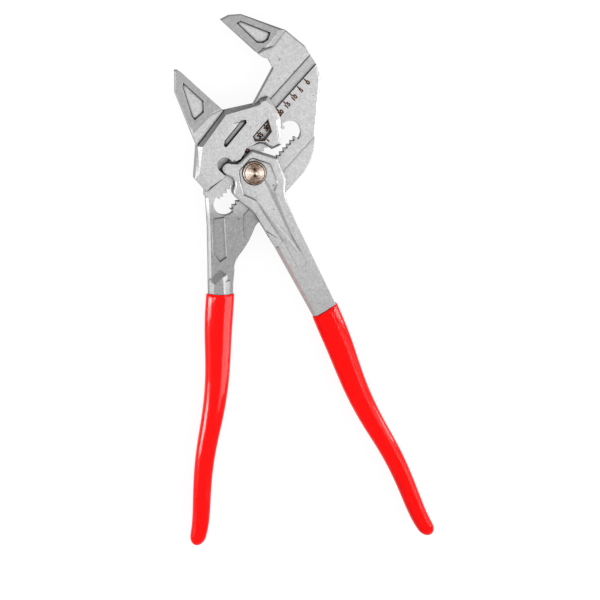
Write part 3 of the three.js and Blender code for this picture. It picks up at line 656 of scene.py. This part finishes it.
class PliersButtonSettings(bpy.types.PropertyGroup):
    """Sizes and colours of the turned cap and the spring below it"""
    # The bright and the dark bronze carry the painted sheen as well as the worn patches
    colour: colour_property("Colour", "Bright bronze of the button", (0.8, 0.69, 0.6))
    dark_colour: colour_property("Dark colour", "Worn bronze of the button", (0.2, 0.12, 0.08))
    # Painted shade in the grooves and dimples
    soot_colour: colour_property("Soot colour", "Dirt in the grooves and dimples", (0.02, 0.012, 0.01))
    radius: length_property("Radius", "Radius of the button", 5.65)
    bottom: length_property("Bottom", "Height of the cap's underside", 14.16)
    wall: length_property("Wall", "Height of the cap's wall", 0.94)
    rim_chamfer: length_property("Rim chamfer", "Chamfer of the rim", 0.3)
    rim_width: length_property("Rim width", "Flat of the rim", 0.3)
    rim_groove: length_property("Rim groove", "Width and depth of the rim's groove", 0.26)
    rings: count_property("Rings", "Number of turned rings", 17)
    ring_pitch: length_property("Ring pitch", "Step between the turned rings", 0.26)
    ring_depth: length_property("Ring depth", "Depth of the turned rings", 0.05)
    dome: length_property("Dome", "Rise of the cap's middle", 0.25)
    seat_outer: length_property("Seat outer", "Outer radius of the spring seat", 5.25)
    seat_inner: length_property("Seat inner", "Inner radius of the spring seat", 3.25)
    seat_depth: length_property("Seat depth", "Depth of the spring seat", 0.79)
    spring_keep: share_property("Spring keep", "Share of the spring's height left when pressed", 0.22, 0.05)
    pocket_radius: length_property("Pocket radius", "Radius of the pocket below", 1.5)
    pocket_depth: length_property("Pocket depth", "Depth of the pocket below", 1.07)
    dimple_ball: length_property("Dimple ball", "Radius of the dimple's ball", 0.9)
    dimple_depth: length_property("Dimple depth", "Depth of the dimples", 0.2)


class PliersScaleSettings(bpy.types.PropertyGroup):
    """Spacing, sizes and colours of the etched marking and of the painted shade round the window"""
    step: count_property("Step", "Opening between two marks, in millimetres", 5)
    last: count_property("Last", "Largest opening on the scale, in millimetres", 50, 5)
    zero_place: length_property("Zero place", "Place of the zero mark along the slide", 50.7)
    tick_start: length_property("Tick start", "Outer end of a tick across the slide", 12.6)
    tick_length: length_property("Tick length", "Length of a tick", 1.7)
    tick_width: length_property("Tick width", "Width of a tick", 0.7)
    digit_height: length_property("Digit height", "Height of a digit", 2.2)
    digit_weight: length_property("Digit weight", "Thickening of the digits", 0.2)
    digit_place: length_property("Digit place", "Middle of the digits across the slide", 9.75)
    # Width of the painted shade round the window
    ring_width: length_property("Ring width", "Burnt rim round the window", 0.6)
    proud: length_property("Proud", "How far the marking stands over the steel", 0.02)
    ink_colour: colour_property("Ink colour", "Brown of the etched marking", (0.17, 0.055, 0.022))
    # Brown-tinted colour of the painted shade round the window
    burn_colour: colour_property("Burn colour", "Brown of the window's burnt rim", (0.07, 0.03, 0.018))
    ink_dark: colour_property("Ink dark", "Darkest brown of the etched marking", (0.04, 0.014, 0.008))


class PliersStageSettings(bpy.types.PropertyGroup):
    """Camera and floor"""
    distance: length_property("Distance", "Camera distance from the pliers", 2000)
    frame_width: length_property("Frame width", "Width of the picture at the pliers", 297)
    target: FloatVectorProperty(
        name="Target", description="Point in the middle of the picture",
        default=(0.0235, -0.0639, 0.007), subtype="XYZ",
    )
    back: FloatVectorProperty(
        name="Back", description="Direction from the pliers to the camera",
        default=(-0.134, 0.123, 1.0), subtype="XYZ",
    )
    roll: FloatProperty(
        name="Roll", description="Turn of the camera about its own view", default=0.0, unit="ROTATION"
    )
    floor_size: length_property("Floor size", "Side of the square floor", 12000)


# Forged pieces

FORGED_PIECES = {
    "fixed_jaw_arm": ("fixed_jaw_arm_forging", "fixed_arm"),
    "sliding_jaw": ("sliding_jaw_forging", "slider"),
    "lever_arm": ("lever_arm_forging", "lever"),
}


class PLIERS_OT_forgings(bpy.types.Operator):
    """Makes the three forged steel pieces, with worn edges and satin plating"""
    bl_idname = "pliers.forgings"
    bl_label = "Forged arms and jaws"

    def execute(self, context):
        settings = context.scene.pliers_steel
        satin = forged_steel_material(
            settings, "forged_steel_satin", LEVER_NECK_SPAN, settings.lever_tone, with_groove_shade=False
        )
        slide = forged_steel_material(
            settings, "forged_steel_slide", ARM_NECK_SPAN, settings.arm_tone, with_groove_shade=True
        )
        for node_name, (piece_name, body) in FORGED_PIECES.items():
            material = slide if node_name == "fixed_jaw_arm" else satin
            piece = merged_copy(node_name, piece_name, settings.merge_reach)
            join_flats(piece)
            if node_name == "sliding_jaw":
                chamfer_arch(piece, settings.arch_chamfer)
            even_net(piece)
            apply_modifier(
                piece, "BEVEL", width=settings.edge_round, segments=2, limit_method="ANGLE",
                angle_limit=WORN_TURN, use_clamp_overlap=False, harden_normals=False,
            )
            finish_piece(piece, material, body, FORGED_SMOOTH)
            apply_modifier(piece, "WEIGHTED_NORMAL", mode="FACE_AREA", weight=100, keep_sharp=True)
            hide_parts(node_name)
        return {"FINISHED"}


# Grips

GRIP_PIECES = {
    "fixed_arm_grip": ("fixed_arm_coat", "fixed_arm"),
    "lever_grip": ("lever_coat", "lever"),
}


class PLIERS_OT_grips(bpy.types.Operator):
    """Makes the two dipped coats on the handles"""
    bl_idname = "pliers.grips"
    bl_label = "Dipped grips"

    def execute(self, context):
        settings = context.scene.pliers_coat
        material = dipped_coat_material(settings)
        for node_name, (piece_name, body) in GRIP_PIECES.items():
            piece = merged_copy(node_name, piece_name)
            apply_modifier(piece, "SUBSURF", levels=settings.smoothing, render_levels=settings.smoothing)
            finish_piece(piece, material, body, ROUND_SMOOTH)
            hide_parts(node_name)
        return {"FINISHED"}


# Button and inner parts

CAP_SIDES = 96
BALL_SEGMENTS = 32
BALL_RINGS = 16

# How close a face is to a height, and how straight it faces up or down, to be a disc of the cap
DISC_REACH = 0.01 * MM
DISC_TILT = 0.9

# Reflection colour and roughness of the steel parts under the button
BOLT_STEEL = ((0.52, 0.52, 0.52), 0.34)
SPRING_STEEL = ((0.38, 0.38, 0.4), 0.3)


def push_up(inward, upward):
    """Insets the selected face, then lifts what is left of it."""
    bpy.ops.mesh.inset(thickness=inward)
    bpy.ops.transform.translate(value=(0, 0, upward))


def push_in(inward, upward):
    """Insets the selected face, then draws it out into a wall."""
    bpy.ops.mesh.inset(thickness=inward)
    bpy.ops.mesh.extrude_region_move(TRANSFORM_OT_translate={"value": (0, 0, upward)})


def turn_faces_out():
    bpy.ops.mesh.select_all(action="SELECT")
    bpy.ops.mesh.normals_make_consistent(inside=False)


def select_disc(piece, height, facing):
    """Selects the faces of one height that face up or down."""
    bpy.ops.mesh.select_all(action="DESELECT")
    shape = bmesh.from_edit_mesh(piece.data)
    for face in shape.faces:
        level = abs(face.calc_center_median().z - height) < DISC_REACH
        face.select = level and face.normal.z * facing > DISC_TILT
    bmesh.update_edit_mesh(piece.data)


def turned_cap(settings):
    """The face-turned cap: chamfered rim, cut groove, fine rings on a low dome, spring seat and pocket below."""
    deselect_all()
    bpy.ops.mesh.primitive_circle_add(
        vertices=CAP_SIDES, radius=settings.radius, fill_type="NGON", location=(0, 0, settings.bottom)
    )
    cap = bpy.context.active_object
    cap.name = "button_cap"
    apply_place(cap)
    make_active(cap)
    bpy.ops.object.mode_set(mode="EDIT")
    bpy.ops.mesh.select_all(action="SELECT")
    bpy.ops.mesh.extrude_region_move(TRANSFORM_OT_translate={"value": (0, 0, settings.wall)})
    push_up(settings.rim_chamfer, settings.rim_chamfer)
    push_up(settings.rim_width, 0)
    for upward in (-settings.rim_groove, 0, settings.rim_groove):
        push_up(settings.rim_groove / 2, upward)
    rise = settings.dome / settings.rings
    for _ in range(settings.rings):
        push_up(settings.ring_pitch / 2, -settings.ring_depth)
        push_up(settings.ring_pitch / 2, settings.ring_depth + rise)
    turn_faces_out()
    select_disc(cap, settings.bottom, -1)
    push_in(settings.radius - settings.seat_outer, settings.seat_depth)
    push_in(settings.seat_outer - settings.seat_inner, -settings.seat_depth)
    push_in(settings.seat_inner - settings.pocket_radius, settings.pocket_depth)
    turn_faces_out()
    bpy.ops.object.mode_set(mode="OBJECT")
    for place in DIMPLES:
        cut_dimple(cap, place, settings)
    return cap


def cut_dimple(cap, place, settings):
    """Sinks one shallow round dimple into the cap's top."""
    top = max(vertex.co.z for vertex in cap.data.vertices)
    rise = settings.dimple_ball - settings.dimple_depth
    deselect_all()
    bpy.ops.mesh.primitive_uv_sphere_add(
        segments=BALL_SEGMENTS, ring_count=BALL_RINGS, radius=settings.dimple_ball,
        location=(*place, top + rise),
    )
    ball = bpy.context.active_object
    apply_place(ball)
    apply_modifier(cap, "BOOLEAN", operation="DIFFERENCE", solver="EXACT", object=ball)
    bpy.data.objects.remove(ball)


class PLIERS_OT_inner_parts(bpy.types.Operator):
    """Turns the button's cap and finishes the bolt and the small parts under it"""
    bl_idname = "pliers.inner_parts"
    bl_label = "Bolt, button and spring"

    def execute(self, context):
        settings = context.scene.pliers_button
        bolt = plain_steel_material("bolt_steel", *BOLT_STEEL)
        spring = plain_steel_material("spring_steel_wire", *SPRING_STEEL)
        for node_name, material, slot in (
            ("pivot_bolt", bolt, "forged_steel"),
            ("spring_washer", spring, "spring_steel"),
        ):
            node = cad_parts[node_name]
            dress(node, material)
        coil = merged_copy("button_spring", "coil_spring")
        finish_piece(coil, spring, "carriage", ROUND_SMOOTH)
        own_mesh(coil)
        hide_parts("button_spring")
        cap = turned_cap(settings)
        finish_piece(cap, turned_bronze_material(settings), "bolt", CAP_SMOOTH)
        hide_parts("push_button")
        return {"FINISHED"}


# Scale marking

# A digit's font size for each unit of its height
FONT_SIZE = 1.37

# Place of the reading mark by the window, in the frame of the slide
READING_MARK = (16.4 * MM, 5.9 * MM)

# Corners of the window in the sliding jaw, in the frame of the slide
WINDOW_CORNERS = (
    (23.28 * MM, 12.48 * MM),
    (20.53 * MM, 7.92 * MM),
    (15.23 * MM, 7.43 * MM),
    (12.29 * MM, 10.48 * MM),
    (13.1 * MM, 12.23 * MM),
)


def lay_on_slide(mark, height, settings, material, body):
    """Turns a flat mark into the slide's frame, lays it on a face and gives it its small thickness."""
    mark.rotation_euler.z = SLIDE_ANGLE
    mark.location.z = height
    apply_place(mark)
    apply_modifier(mark, "SOLIDIFY", thickness=2 * settings.proud, offset=0)
    dress(mark, material)
    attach(mark, body)


def tick_mark(name, place, height, settings, material, body):
    """One short line of the marking, across the slide."""
    deselect_all()
    bpy.ops.mesh.primitive_plane_add(size=1, location=(0, 0, 0))
    mark = bpy.context.active_object
    mark.name = name
    mark.scale = (settings.tick_width, settings.tick_length, 1)
    mark.location = (*place, 0)
    apply_place(mark)
    lay_on_slide(mark, height, settings, material, body)


def scale_number(opening, place, settings, material):
    """The number of one opening beside its tick, as a mesh."""
    deselect_all()
    bpy.ops.object.text_add(location=(0, 0, 0))
    digits = bpy.context.active_object
    digits.name = f"scale_number_{opening:02d}"
    digits.data.body = str(opening)
    digits.data.size = settings.digit_height * FONT_SIZE
    digits.data.align_x = "CENTER"
    digits.data.align_y = "CENTER"
    digits.data.offset = settings.digit_weight
    bpy.ops.object.convert(target="MESH")
    digits.location = (*place, 0)
    apply_place(digits)
    lay_on_slide(digits, ARM_FACE, settings, material, "fixed_arm")


def grown(corners, reach):
    """Corners of a polygon, run clockwise, with every side moved out by the reach."""
    found = []
    for place, corner in enumerate(corners):
        corner = Vector(corner)
        before = (corner - Vector(corners[place - 1])).normalized()
        after = (Vector(corners[(place + 1) % len(corners)]) - corner).normalized()
        out = Vector((-before.y - after.y, before.x + after.x))
        found.append(corner + out * (reach / (1 + before.dot(after))))
    return found


def window_rim(settings, material):
    """Painted shade round the window, brown-tinted: a flat ring with the window's own corners."""
    deselect_all()
    bpy.ops.mesh.primitive_circle_add(vertices=len(WINDOW_CORNERS), radius=MM, fill_type="NGON")
    rim = bpy.context.active_object
    rim.name = "window_rim"
    for vertex, corner in zip(rim.data.vertices, grown(WINDOW_CORNERS, settings.ring_width)):
        vertex.co = (*corner, 0)
    make_active(rim)
    bpy.ops.object.mode_set(mode="EDIT")
    turn_faces_out()
    bpy.ops.mesh.inset(thickness=settings.ring_width)
    bpy.ops.mesh.delete(type="FACE")
    bpy.ops.object.mode_set(mode="OBJECT")
    lay_on_slide(rim, PLATE_FACE, settings, material, "slider")


class PLIERS_OT_scale(bpy.types.Operator):
    """Lays the etched opening scale on the fixed arm"""
    bl_idname = "pliers.scale"
    bl_label = "Etched scale"

    def execute(self, context):
        settings = context.scene.pliers_scale
        ink = etched_material(settings, settings.ink_colour)
        tick_middle = settings.tick_start - settings.tick_length / 2
        for opening in range(0, settings.last + 1, settings.step):
            along = settings.zero_place - opening * MM
            name = f"scale_tick_{opening:02d}"
            tick_mark(name, (along, tick_middle), ARM_FACE, settings, ink, "fixed_arm")
            scale_number(opening, (along, settings.digit_place), settings, ink)
        # Painted shade round the window, in a brown-tinted etched finish
        window_rim(settings, etched_material(settings, settings.burn_colour))
        tick_mark("reading_mark", READING_MARK, PLATE_FACE, settings, ink, "slider")
        return {"FINISHED"}


# Stage

# How white the floor looks to the camera, its grey under its own shadow, and its grey for other rays
FLOOR_GLOW = 0.88
FLOOR_LIT = 0.18
FLOOR_GREY = 0.82
FLOOR_HEIGHT = -0.05 * MM

# Strength of the world as light, and as what the camera and the gloss see
WORLD_STRENGTH = (0.62, 1.0)

SENSOR_WIDTH = 36
CLIP_START = 0.05
CLIP_END = 50

# Every lamp stands this far from the middle of the picture
LAMP_DISTANCE = 1.2

# Lamps for the whole tool: name, way to the lamp, length, width and radiance
SOFT_BOXES = (
    ("right_box", (1, 0.0, 0.34), 1.5, 0.34, 3.0),
    ("left_box", (-1, -0.08, 0.22), 0.9, 0.34, 2.6),
    ("left_strip", (-1, 0.0, 0.95), 1.6, 0.05, 10),
    ("right_strip", (1, 0.0, 0.85), 1.6, 0.05, 10),
)

# Lamps for one coat each: name, way to the lamp, length, width, radiance and the coat
COAT_LAMPS = (
    ("coat_edge_low", (-1, 0.0, 0.1), 1.6, 0.25, 26, "fixed_arm_coat"),
    ("coat_edge_high", (-1, 0.0, 0.75), 1.6, 0.16, 30, "fixed_arm_coat"),
    ("coat_band", (1, 0.0, 0.75), 1.6, 0.7, 12, "fixed_arm_coat"),
    ("coat_rim", (1, 0.3, 0.3), 1.6, 0.22, 26, "lever_coat"),
)


def seen_rays(tree):
    """One for the camera's rays, and for those that reach it by way of gloss or glass."""
    path = add_node(tree, "ShaderNodeLightPath")
    seen = math_node(tree, "MAXIMUM", path.outputs["Is Camera Ray"], path.outputs["Is Glossy Ray"])
    return math_node(tree, "MAXIMUM", seen, path.outputs["Is Transmission Ray"])


def matt_grey(tree, brightness):
    made = add_node(tree, "ShaderNodeBsdfDiffuse")
    fill_socket(tree, made.inputs["Color"], (brightness, brightness, brightness))
    return made.outputs[0]


def pale_floor_material():
    """Pale floor: camera, glossy and transmission rays see it white, and it keeps a soft shadow."""
    material = bpy.data.materials.new("studio_floor")
    material.use_nodes = True
    tree = material.node_tree
    tree.nodes.clear()
    out = add_node(tree, "ShaderNodeOutputMaterial")
    glow = add_node(tree, "ShaderNodeEmission")
    glow.inputs["Strength"].default_value = FLOOR_GLOW
    white = add_node(tree, "ShaderNodeAddShader")
    tree.links.new(glow.outputs[0], white.inputs[0])
    tree.links.new(matt_grey(tree, FLOOR_LIT), white.inputs[1])
    choice = add_node(tree, "ShaderNodeMixShader")
    tree.links.new(seen_rays(tree), choice.inputs[0])
    tree.links.new(matt_grey(tree, FLOOR_GREY), choice.inputs[1])
    tree.links.new(white.outputs[0], choice.inputs[2])
    tree.links.new(choice.outputs[0], out.inputs["Surface"])
    return material


def studio_world():
    """White to the camera and the gloss, and a little less as light."""
    world = bpy.data.worlds.new("studio_white")
    world.use_nodes = True
    tree = world.node_tree
    background = tree.nodes["Background"]
    fill_socket(tree, background.inputs["Color"], (1, 1, 1))
    strength = map_range(tree, seen_rays(tree), WHOLE_SPAN, WORLD_STRENGTH)
    tree.links.new(strength, background.inputs["Strength"])
    bpy.context.scene.world = world


def soft_lamp(name, direction, length, width, radiance, target):
    """A rectangular soft lamp, its length along the y axis, as bright as the radiance says."""
    lamp = bpy.data.lights.new(name, "AREA")
    lamp.shape = "RECTANGLE"
    lamp.size = width
    lamp.size_y = length
    lamp.energy = radiance * math.pi * length * width
    holder = bpy.data.objects.new(name, lamp)
    bpy.context.scene.collection.objects.link(holder)
    away = Vector(direction).normalized()
    holder.location = target + away * LAMP_DISTANCE
    holder.rotation_mode = "QUATERNION"
    holder.rotation_quaternion = away.to_track_quat("Z", "Y")
    return holder


def light_only(lamp, piece):
    """Keeps a lamp for one piece, so that its streak leaves the steel alone."""
    lit = bpy.data.collections.new(lamp.name + "_lit")
    lit.objects.link(piece)
    lamp.light_linking.receiver_collection = lit


def upright_turn(away, roll):
    """Turn of a camera that looks against away, with the y axis up in its picture."""
    right = Vector((0, 1, 0)).cross(away).normalized()
    up = away.cross(right)
    turn = Matrix((right, up, away)).transposed()
    return turn.to_quaternion() @ Quaternion((0, 0, 1), roll)


def studio_camera(settings, target):
    """The camera at the photograph's viewing angle."""
    away = Vector(settings.back).normalized()
    lens = bpy.data.cameras.new("studio_camera")
    lens.sensor_width = SENSOR_WIDTH
    lens.lens = SENSOR_WIDTH * settings.distance / settings.frame_width
    lens.clip_start = CLIP_START
    lens.clip_end = CLIP_END
    camera = bpy.data.objects.new("studio_camera", lens)
    bpy.context.scene.collection.objects.link(camera)
    camera.location = target + away * settings.distance
    camera.rotation_mode = "QUATERNION"
    camera.rotation_quaternion = upright_turn(away, settings.roll)
    bpy.context.scene.camera = camera


class PLIERS_OT_stage(bpy.types.Operator):
    """Sets the pale floor, the soft lamps and the camera above the pliers"""
    bl_idname = "pliers.stage"
    bl_label = "Studio stage"

    def execute(self, context):
        settings = context.scene.pliers_stage
        target = Vector(settings.target)
        studio_camera(settings, target)
        context.scene.view_settings.view_transform = "Standard"
        deselect_all()
        bpy.ops.mesh.primitive_plane_add(size=settings.floor_size, location=(0, 0, FLOOR_HEIGHT))
        floor = context.active_object
        floor.name = "studio_floor"
        dress(floor, pale_floor_material())
        studio_world()
        for name, direction, length, width, radiance in SOFT_BOXES:
            soft_lamp(name, direction, length, width, radiance, target)
        for name, direction, length, width, radiance, coat_name in COAT_LAMPS:
            lamp = soft_lamp(name, direction, length, width, radiance, target)
            light_only(lamp, bpy.data.objects[coat_name])
        return {"FINISHED"}


class PLIERS_PT_panel(bpy.types.Panel):
    bl_idname = "PLIERS_PT_panel"
    bl_label = "Adjustable pliers"
    bl_space_type = "VIEW_3D"
    bl_region_type = "UI"
    bl_category = "Pliers"

    def draw(self, context):
        layout = self.layout
        for operator in OPERATORS:
            layout.operator(operator.bl_idname)
        for name in SETTINGS:
            box = layout.box()
            group = getattr(context.scene, name)
            for key in group.bl_rna.properties.keys():
                if key not in ("rna_type", "name"):
                    box.prop(group, key)


SETTINGS = {
    "pliers_steel": PliersSteelSettings,
    "pliers_coat": PliersCoatSettings,
    "pliers_button": PliersButtonSettings,
    "pliers_scale": PliersScaleSettings,
    "pliers_stage": PliersStageSettings,
}

OPERATORS = (
    PLIERS_OT_forgings,
    PLIERS_OT_grips,
    PLIERS_OT_inner_parts,
    PLIERS_OT_scale,
    PLIERS_OT_stage,
)


def register():
    for group in SETTINGS.values():
        bpy.utils.register_class(group)
    for operator in OPERATORS:
        bpy.utils.register_class(operator)
    bpy.utils.register_class(PLIERS_PT_panel)
    for name, group in SETTINGS.items():
        setattr(bpy.types.Scene, name, PointerProperty(type=group))


def unregister():
    for name in SETTINGS:
        delattr(bpy.types.Scene, name)
    bpy.utils.unregister_class(PLIERS_PT_panel)
    for operator in reversed(OPERATORS):
        bpy.utils.unregister_class(operator)
    for group in SETTINGS.values():
        bpy.utils.unregister_class(group)


def main():
    register()
    bpy.ops.pliers.forgings()
    bpy.ops.pliers.grips()
    bpy.ops.pliers.inner_parts()
    bpy.ops.pliers.scale()
    bpy.ops.pliers.stage()


if __name__ == "__main__":
    main()
